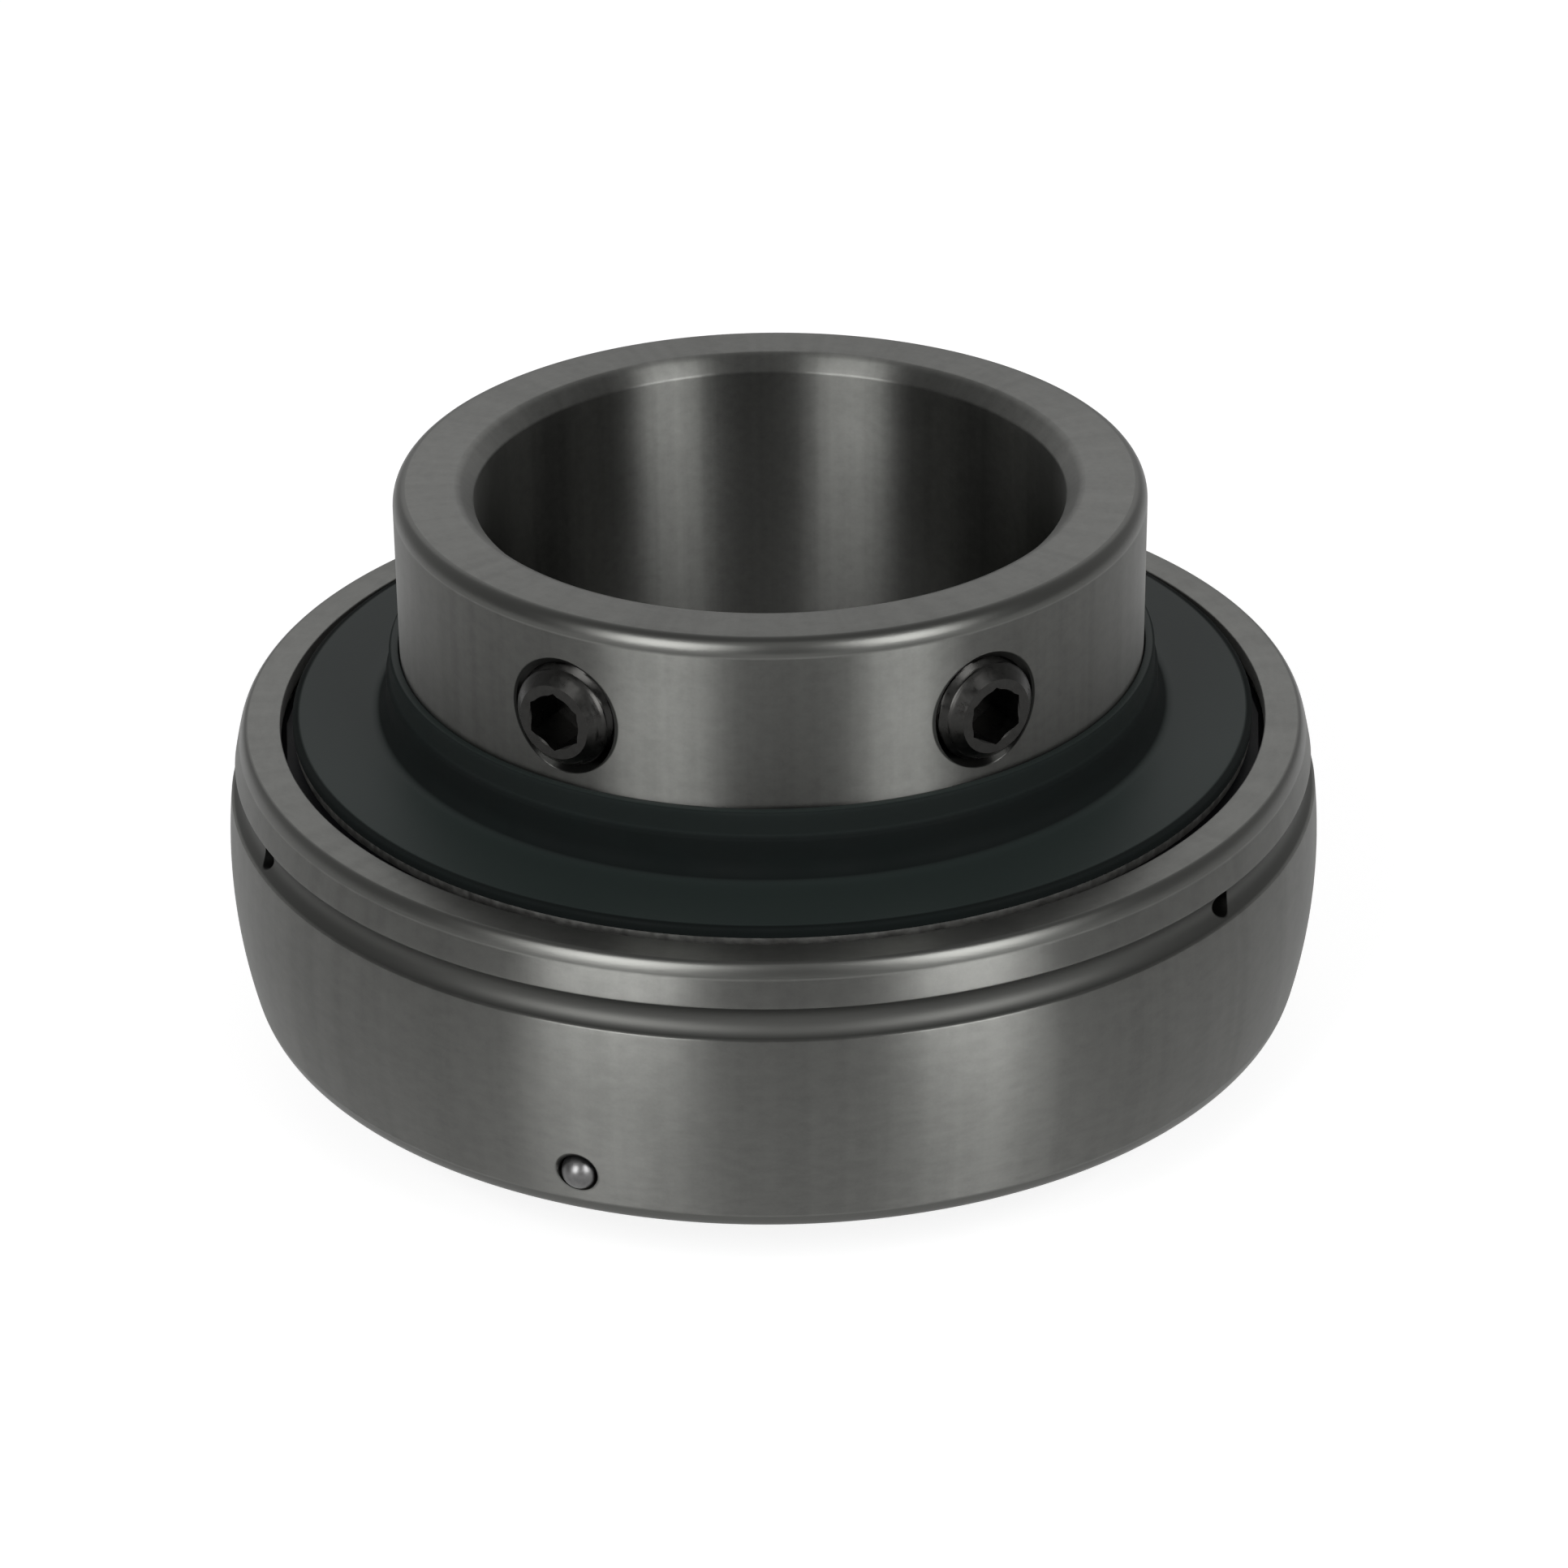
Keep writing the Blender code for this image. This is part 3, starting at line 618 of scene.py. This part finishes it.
class Shader:
    """A small helper that adds nodes to one material."""

    def __init__(self, name, colour, roughness, metallic):
        self.material = bpy.data.materials.new(name)
        self.material.use_nodes = True
        self.tree = self.material.node_tree
        self.inputs = self.tree.nodes["Principled BSDF"].inputs
        self.inputs["Base Color"].default_value = (*colour, 1)
        self.inputs["Roughness"].default_value = roughness
        self.inputs["Metallic"].default_value = metallic

    def add(self, kind, **settings):
        node = self.tree.nodes.new(kind)
        for key, value in settings.items():
            setattr(node, key, value)
        return node

    def link(self, source, target):
        self.tree.links.new(source, target)

    def value(self, operation, *given):
        """The result of a Math node, whose inputs are numbers or sockets."""
        return join(self.tree, operation, *given)

    def spot(self):
        return self.add("ShaderNodeTexCoord").outputs["Object"]

    def axes(self):
        parts = self.add("ShaderNodeSeparateXYZ")
        self.link(self.spot(), parts.inputs[0])
        return parts.outputs

    def length(self, *parts):
        """The length of a vector from its parts."""
        square = 0
        for part in parts:
            square = self.value("MULTIPLY_ADD", part, part, square)
        return self.value("SQRT", square)

    def spread(self, value, low, high, first, last):
        """From the first number to the last as the value goes from low to high."""
        node = self.add("ShaderNodeMapRange")
        self.link(value, node.inputs["Value"])
        numbers = {"From Min": low, "From Max": high, "To Min": first, "To Max": last}
        for name, number in numbers.items():
            node.inputs[name].default_value = number
        return node.outputs["Result"]

    def within(self, value, limit, edge):
        """1 where the value is under the limit, and 0 from an edge beyond it."""
        return self.spread(value, limit, limit + edge, 1, 0)

    def beyond(self, value, limit, edge):
        """1 where the value is over the limit, and 0 from an edge below it."""
        return self.spread(value, limit - edge, limit, 0, 1)

    def blend(self, mask, first, last):
        """The first value where the mask is 0, and the last where it is 1."""
        rest = self.value("SUBTRACT", 1, mask)
        return self.value("MULTIPLY_ADD", rest, first, self.value("MULTIPLY", mask, last))

    def bored(self, angle, height, radius, edge=FADE):
        """1 in a hole that runs outwards at this angle from the front and this height."""
        x, y, z = self.axes()
        aside = self.mix((x, cos(angle)), (y, sin(angle)))
        distance = self.length(aside, self.value("SUBTRACT", z, height))
        outwards = self.mix((x, sin(angle)), (y, -cos(angle)))
        near = self.value("GREATER_THAN", outwards, 0)
        return self.value("MULTIPLY", self.within(distance, radius, edge), near)

    def mask_in(self, masks, colour):
        """Mixes another colour in where any of the masks is 1."""
        most = masks[0]
        for mask in masks[1:]:
            most = self.value("MAXIMUM", most, mask)
        node = self.add("ShaderNodeMix", data_type="RGBA")
        factor, before, added = node.inputs[0], node.inputs[6], node.inputs[7]
        self.link(most, factor)
        self.link(self.inputs["Base Color"].links[0].from_socket, before)
        added.default_value = (*colour, 1)
        self.link(node.outputs[2], self.inputs["Base Color"])

    def lay(self, across=1, along=1, shift=0):
        """Coordinates that run slowly round the axis, and fast across the lathe marks."""
        x, y, z = self.axes()
        radius = self.length(x, y)
        joined = self.add("ShaderNodeCombineXYZ")
        for part, target in ((x, joined.inputs[0]), (y, joined.inputs[1])):
            self.link(self.value("MULTIPLY", self.value("DIVIDE", part, radius), along), target)
        run = self.value("ADD", radius, self.value("ADD", z, shift))
        self.link(self.value("MULTIPLY", run, across), joined.inputs[2])
        return joined.outputs[0]

    def noise(self, vector, scale, detail=3, roughness=0.5):
        node = self.add("ShaderNodeTexNoise")
        self.link(vector, node.inputs["Vector"])
        node.inputs["Scale"].default_value = scale
        node.inputs["Detail"].default_value = detail
        node.inputs["Roughness"].default_value = roughness
        return node.outputs["Fac"]

    def mix(self, *shares):
        """The sum of (socket, share) pairs."""
        total = 0
        for socket, share in shares:
            total = self.value("MULTIPLY_ADD", socket, share, total)
        return total

    def tint(self, factor, *stops):
        """Base colour through a Color Ramp of (position, colour) stops."""
        node = self.add("ShaderNodeValToRGB")
        self.link(factor, node.inputs[0])
        elements = node.color_ramp.elements
        while len(elements) < len(stops):
            elements.new(0.5)
        for element, (position, colour) in zip(elements, stops):
            element.position = position
            element.color = (*colour, 1)
        self.link(node.outputs[0], self.inputs["Base Color"])

    def polish(self, noise, roughness):
        """Roughness that goes from a little smoother to rougher with the noise."""
        low, high = roughness - SMOOTHER, roughness + ROUGHER
        uneven = self.spread(noise, NOISE_LOW, NOISE_HIGH, low, high)
        self.link(uneven, self.inputs["Roughness"])

    def relief(self, *layers):
        """Bumps from (height, strength, distance) layers, one on the other."""
        normal = None
        for height, strength, distance in layers:
            node = self.add("ShaderNodeBump")
            self.link(height, node.inputs["Height"])
            node.inputs["Strength"].default_value = strength
            node.inputs["Distance"].default_value = distance
            if normal:
                self.link(normal, node.inputs["Normal"])
            normal = node.outputs["Normal"]
        self.link(normal, self.inputs["Normal"])


def shade(colour, factor):
    return tuple(part * factor for part in colour)


def ring_steel(name, colour, roughness, rounding):
    """Ground bearing steel, with fine marks round the axis that stretch highlights along it.

    The rounded edges, where the mask is 1, are tumbled and reflect alike in every direction; their
    colour is darkened as painted shade.
    """
    shader = Shader(name, colour, roughness, 1)
    marks = shader.noise(shader.lay(along=0.004), scale=9000, detail=2)
    bands = shader.noise(shader.lay(along=0.02, shift=0.3), scale=1400)
    streaks = shader.noise(shader.lay(across=0.03, along=0.1), scale=260, detail=2)
    stains = shader.noise(shader.spot(), scale=70, detail=5, roughness=0.6)
    grain = shader.noise(shader.spot(), scale=4200, detail=2, roughness=0.7)
    mixed = shader.mix((bands, 0.3), (streaks, 0.3), (stains, 0.25), (grain, 0.15))
    shader.tint(mixed, (0.38, shade(colour, 0.88)), (0.5, colour), (0.64, shade(colour, 1.12)))
    edges = rounding(shader)
    # Painted shade: the rounded edges and the groove are drawn darker, which dims their
    # reflections
    shader.mask_in([shader.beyond(edges, 1, 1 - FACE_SHARE)], shade(colour, PAINTED_EDGE_SHADE))
    low, high = roughness - RING_SWING, roughness + RING_SWING
    ground = shader.spread(stains, NOISE_LOW, NOISE_HIGH, low, high)
    shader.link(shader.blend(edges, ground, EDGE_ROUGHNESS), shader.inputs["Roughness"])
    stretch = shader.blend(edges, GROUND_ANISOTROPY, EDGE_ANISOTROPY)
    shader.link(stretch, shader.inputs["Anisotropic"])
    shader.inputs["Anisotropic Rotation"].default_value = ALONG_THE_AXIS
    tangent = shader.add("ShaderNodeTangent", direction_type="RADIAL", axis="Z")
    shader.link(tangent.outputs[0], shader.inputs["Tangent"])
    shader.relief((marks, 0.2, 0.02 * MM), (grain, 0.08, 0.03 * MM))
    return shader


def groove(shader):
    """1 in the lubrication groove."""
    x, y, z = shader.axes()
    from_middle = shader.value("ABSOLUTE", shader.value("SUBTRACT", z, GROOVE_HEIGHT))
    level = shader.within(from_middle, GROOVE_MASK_SHARE * GROOVE_WIDTH, FADE)
    floor = SPHERE_RADIUS - GROOVE_MASK_DEPTH
    sunk = shader.within(shader.length(x, y, z), floor, LONG_FADE)
    return shader.value("MULTIPLY", level, sunk)


def outer_ring_rounding(shader):
    """1 on the rounded edges and in the lubrication groove, and a share on the side faces."""
    x, y, z = shader.axes()
    height = shader.value("ABSOLUTE", z)
    face_radius = sqrt(SPHERE_RADIUS**2 - HALF_WIDTH**2) - OUTER_EDGE
    out = shader.beyond(shader.length(x, y), face_radius + FADE, FADE)
    high = shader.beyond(height, HALF_WIDTH - EDGE_MASK_SHARE * OUTER_EDGE_DROP, LONG_FADE)
    flat = shader.beyond(height, HALF_WIDTH - FLAT_FADE, 2 * FLAT_FADE)
    edge = shader.value("MAXIMUM", shader.value("MULTIPLY", out, high), groove(shader))
    return shader.value("MAXIMUM", edge, shader.value("MULTIPLY", flat, FACE_SHARE))


def inner_ring_rounding(shader):
    """1 on the rounded edges between the end faces and the outside, and a share on the faces."""
    x, y, z = shader.axes()
    middle = (LONG_SIDE - SHORT_SIDE) / 2
    from_middle = shader.value("ABSOLUTE", shader.value("SUBTRACT", z, middle))
    out = shader.beyond(shader.length(x, y), LAND_RADIUS - RING_EDGE + FADE, FADE)
    end = (LONG_SIDE + SHORT_SIDE) / 2
    high = shader.beyond(from_middle, end - EDGE_MASK_SHARE * RING_EDGE_DROP, LONG_FADE)
    flat = shader.beyond(from_middle, end - FLAT_FADE, 2 * FLAT_FADE)
    edge = shader.value("MULTIPLY", out, high)
    return shader.value("MAXIMUM", edge, shader.value("MULTIPLY", flat, FACE_SHARE))


def outer_ring_steel(colour, roughness):
    """Ring steel that is dark in the lubrication groove, with painted shade in the holes."""
    shader = ring_steel("outer_ring_steel_ground", colour, roughness, outer_ring_rounding)
    sunk = groove(shader)
    shader.mask_in([sunk], shade(colour, GROOVE_SHADE))
    ground = shader.inputs["Roughness"].links[0].from_socket
    shader.link(shader.blend(sunk, ground, GROOVE_ROUGHNESS), shader.inputs["Roughness"])
    # Painted shadow: the pin hole's dark mask sits higher than the hole, so a dark crescent is
    # painted above the pin
    painted_shadow_height = PIN_HEIGHT + PIN_HOLE_BREAK
    holes = [shader.bored(PIN_ANGLE, painted_shadow_height, PIN_RADIUS + PIN_HOLE_ROOM, 2 * PIN_HOLE_BREAK)]
    # Painted shade inside the lubrication holes
    for angle in LUBRICATION_HOLE_ANGLES:
        holes.append(shader.bored(angle, GROOVE_HEIGHT, LUBRICATION_HOLE_RADIUS))
    shader.mask_in(holes, shade(colour, PAINTED_HOLE_SHADE))
    return shader.material


def inner_ring_steel(colour, roughness):
    """Ring steel with painted shade in the tapped holes."""
    shader = ring_steel("inner_ring_steel_ground", colour, roughness, inner_ring_rounding)
    # Painted shade in the tapped holes and on their flared mouths
    reach = SCREW_RADIUS + SCREW_MOUTH_FLARE - FADE
    holes = [shader.bored(angle, SCREW_HEIGHT, reach) for angle in SCREW_ANGLES.values()]
    shader.mask_in(holes, shade(colour, PAINTED_HOLE_SHADE))
    return shader.material


def plain_steel(name, colour, roughness):
    """Small steel pieces: fine grain and a slightly uneven polish."""
    shader = Shader(name, colour, roughness, 1)
    grain = shader.noise(shader.spot(), scale=1500, detail=4, roughness=0.6)
    shader.tint(grain, (0.3, shade(colour, 0.85)), (0.7, shade(colour, 1.15)))
    shader.polish(grain, roughness)
    shader.relief((grain, 0.15, 0.02 * MM))
    return shader.material


def rubber(name, colour, roughness):
    """Moulded rubber: faint flow lines round the axis, fine pores and dusty smudges."""
    shader = Shader(name, colour, roughness, 0)
    smudges = shader.noise(shader.spot(), scale=160, detail=5, roughness=0.6)
    pores = shader.noise(shader.spot(), scale=5000, detail=2)
    flow = shader.noise(shader.lay(along=0.01), scale=1200)
    mixed = shader.mix((smudges, 0.6), (flow, 0.4))
    shader.tint(mixed, (0.35, shade(colour, 0.8)), (0.52, colour), (0.7, shade(colour, 1.3)))
    shader.polish(smudges, roughness)
    shader.inputs["Specular IOR Level"].default_value = RUBBER_SHINE
    shader.relief((pores, 0.2, 0.02 * MM), (flow, 0.15, 0.04 * MM))
    return shader


def slinger_rubber(colour, roughness, painted_light, painted_light_roughness):
    """Rubber with painted light: lighter colour on what faces up, and a little on the collar's
    lip.
    """
    shader = rubber("slinger_rubber_moulded", colour, roughness)
    facing = shader.add("ShaderNodeSeparateXYZ")
    shader.link(shader.add("ShaderNodeNewGeometry").outputs["Normal"], facing.inputs[0])
    x, y, z = shader.axes()
    reach = MOUTH_RADIUS - SLINGER_RUNNING_GAP - PAINTED_LIGHT_FROM_RIM
    inner = shader.within(shader.length(x, y), reach, LONG_FADE)
    upwards = shader.beyond(facing.outputs["Z"], PAINTED_LIGHT_FACING, PAINTED_LIGHT_FACING_FADE)
    level = shader.value("MULTIPLY", upwards, inner)
    lip = shader.beyond(z, HALF_WIDTH + LIP_HEIGHT, LONG_FADE)
    # Painted light: the rubber's colour is made lighter on faces that point up and on the collar's
    # lip
    shader.mask_in([level, shader.value("MULTIPLY", lip, LIP_PAINTED_LIGHT)], painted_light)
    bare = shader.inputs["Roughness"].links[0].from_socket
    shader.link(shader.blend(level, bare, painted_light_roughness), shader.inputs["Roughness"])
    shader.inputs["Specular IOR Level"].default_value = SLINGER_SHINE
    return shader.material


def dress_nodes(material, names):
    """Gives CAD nodes that are kept their material."""
    for name in names:
        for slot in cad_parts[name].material_slots:
            slot.material = material


def make_camera():
    """A camera with the photograph's view, with no shift."""
    back = Vector((0, -cos(CAMERA_ELEVATION), sin(CAMERA_ELEVATION)))
    up = Vector((0, sin(CAMERA_ELEVATION), cos(CAMERA_ELEVATION)))
    right = Vector((1, 0, 0))
    rolled_right = cos(CAMERA_ROLL) * right + sin(CAMERA_ROLL) * up
    rolled_up = cos(CAMERA_ROLL) * up - sin(CAMERA_ROLL) * right
    aimed = Matrix((rolled_right, rolled_up, -back))
    half = IMAGE_SIDE / 2
    seen = Vector((MIDDLE_SEEN_AT[0] - half, half - MIDDLE_SEEN_AT[1], FOCAL_PIXELS)).normalized()
    rows = Vector((0, 0, 1)).rotation_difference(seen).to_matrix() @ aimed
    axes = Matrix((rows[0], rows[1], -rows[2])).transposed().to_4x4()
    data = bpy.data.cameras.new("camera")
    data.sensor_width = SENSOR_WIDTH
    data.lens = FOCAL_PIXELS / IMAGE_SIDE * SENSOR_WIDTH
    data.clip_start = CLIP_START
    camera = bpy.data.objects.new("camera", data)
    bpy.context.scene.collection.objects.link(camera)
    camera.matrix_world = upright() @ Matrix.Translation(back * CAMERA_DISTANCE) @ axes
    bpy.context.scene.camera = camera


def softbox(name, azimuth, elevation, distance, size, radiance):
    """An area lamp aimed at the bearing. Its azimuth is from the front towards +X."""
    data = bpy.data.lights.new(name, "AREA")
    data.shape = "RECTANGLE"
    data.size, data.size_y = size
    data.energy = radiance * pi * size[0] * size[1]
    lamp = bpy.data.objects.new(name, data)
    bpy.context.scene.collection.objects.link(lamp)
    azimuth, elevation = radians(azimuth), radians(elevation)
    flat = cos(elevation)
    away = Vector((sin(azimuth) * flat, -cos(azimuth) * flat, sin(elevation)))
    lamp.location = Vector((0, 0, MIDDLE)) + away * distance
    lamp.rotation_euler = away.to_track_quat("Z", "Y").to_euler()


def make_light():
    """Soft lamps in a studio that is white behind the bearing and darker in front of it."""
    for name, settings in SOFTBOXES.items():
        softbox(name, *settings)
    world = bpy.data.worlds.new("studio")
    bpy.context.scene.world = world
    world.use_nodes = True
    tree = world.node_tree
    background = tree.nodes["Background"]
    background.inputs["Color"].default_value = (1, 1, 1, 1)
    path = tree.nodes.new("ShaderNodeLightPath").outputs
    mirrored = join(tree, "MAXIMUM", path["Is Glossy Ray"], path["Is Transmission Ray"])
    direction = tree.nodes.new("ShaderNodeSeparateXYZ")
    seen = tree.nodes.new("ShaderNodeTexCoord").outputs["Generated"]
    tree.links.new(seen, direction.inputs[0])
    room = tree.nodes.new("ShaderNodeMapRange")
    tree.links.new(direction.outputs["Y"], room.inputs["Value"])
    for name, number in ROOM.items():
        room.inputs[name].default_value = number
    strength = join(tree, "MULTIPLY", mirrored, room.outputs["Result"])
    strength = join(tree, "MAXIMUM", strength, path["Is Camera Ray"])
    strength = join(tree, "MAXIMUM", strength, ROOM_LEAST)
    tree.links.new(strength, background.inputs["Strength"])


def make_floor():
    """A pale floor just under the bearing, which glows where it is seen, so that it is white."""
    shape = bmesh.new()
    bmesh.ops.create_circle(shape, cap_ends=True, segments=FLOOR_STEPS, radius=FLOOR_RADIUS)
    below = Matrix.Translation((0, 0, -FLOOR_GAP))
    floor = place("floor", finished("floor", shape), below)
    shader = Shader("floor_white", (FLOOR_GREY,) * 3, FLOOR_ROUGHNESS, 0)
    shader.inputs["Specular IOR Level"].default_value = 0
    shader.inputs["Emission Color"].default_value = (1, 1, 1, 1)
    path = shader.add("ShaderNodeLightPath").outputs
    bounced = shader.value("MAXIMUM", path["Is Glossy Ray"], path["Is Transmission Ray"])
    bounced = shader.value("MULTIPLY", bounced, FLOOR_MIRRORED)
    straight = shader.value("MULTIPLY", path["Is Camera Ray"], FLOOR_SEEN)
    strength = shader.value("MAXIMUM", straight, bounced)
    shader.link(strength, shader.inputs["Emission Strength"])
    floor.data.materials.append(shader.material)


def build():
    bpy.context.scene.view_settings.view_transform = "Standard"
    make_camera()
    make_light()
    make_floor()
    make_outer_ring(outer_ring_steel(*OUTER_RING_STEEL))
    make_inner_ring(inner_ring_steel(*INNER_RING_STEEL))
    coat = slinger_rubber(*SLINGER_RUBBER, *SLINGER_PAINTED_LIGHT)
    sheet = plain_steel("slinger_steel_pressed", *SLINGER_STEEL)
    make_slingers({"coat": (coat, "slinger_rubber"), "sheet": (sheet, "cage_steel")})
    make_set_screws(plain_steel("black_oxide", *BLACK_OXIDE))
    make_pin(plain_steel("pin_steel_drawn", *PIN_STEEL))
    make_balls(plain_steel("ball_steel_polished", *BALL_STEEL))
    seal = rubber("seal_rubber_moulded", *SEAL_RUBBER).material
    dress_nodes(seal, ["seal_upper", "seal_lower"])
    cage = plain_steel("cage_steel_pressed", *CAGE_STEEL)
    dress_nodes(cage, ["cage_upper", "cage_lower"])
    rivets = [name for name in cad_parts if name.startswith("cage_rivet")]
    dress_nodes(plain_steel("rivet_steel_headed", *RIVET_STEEL), rivets)


build()
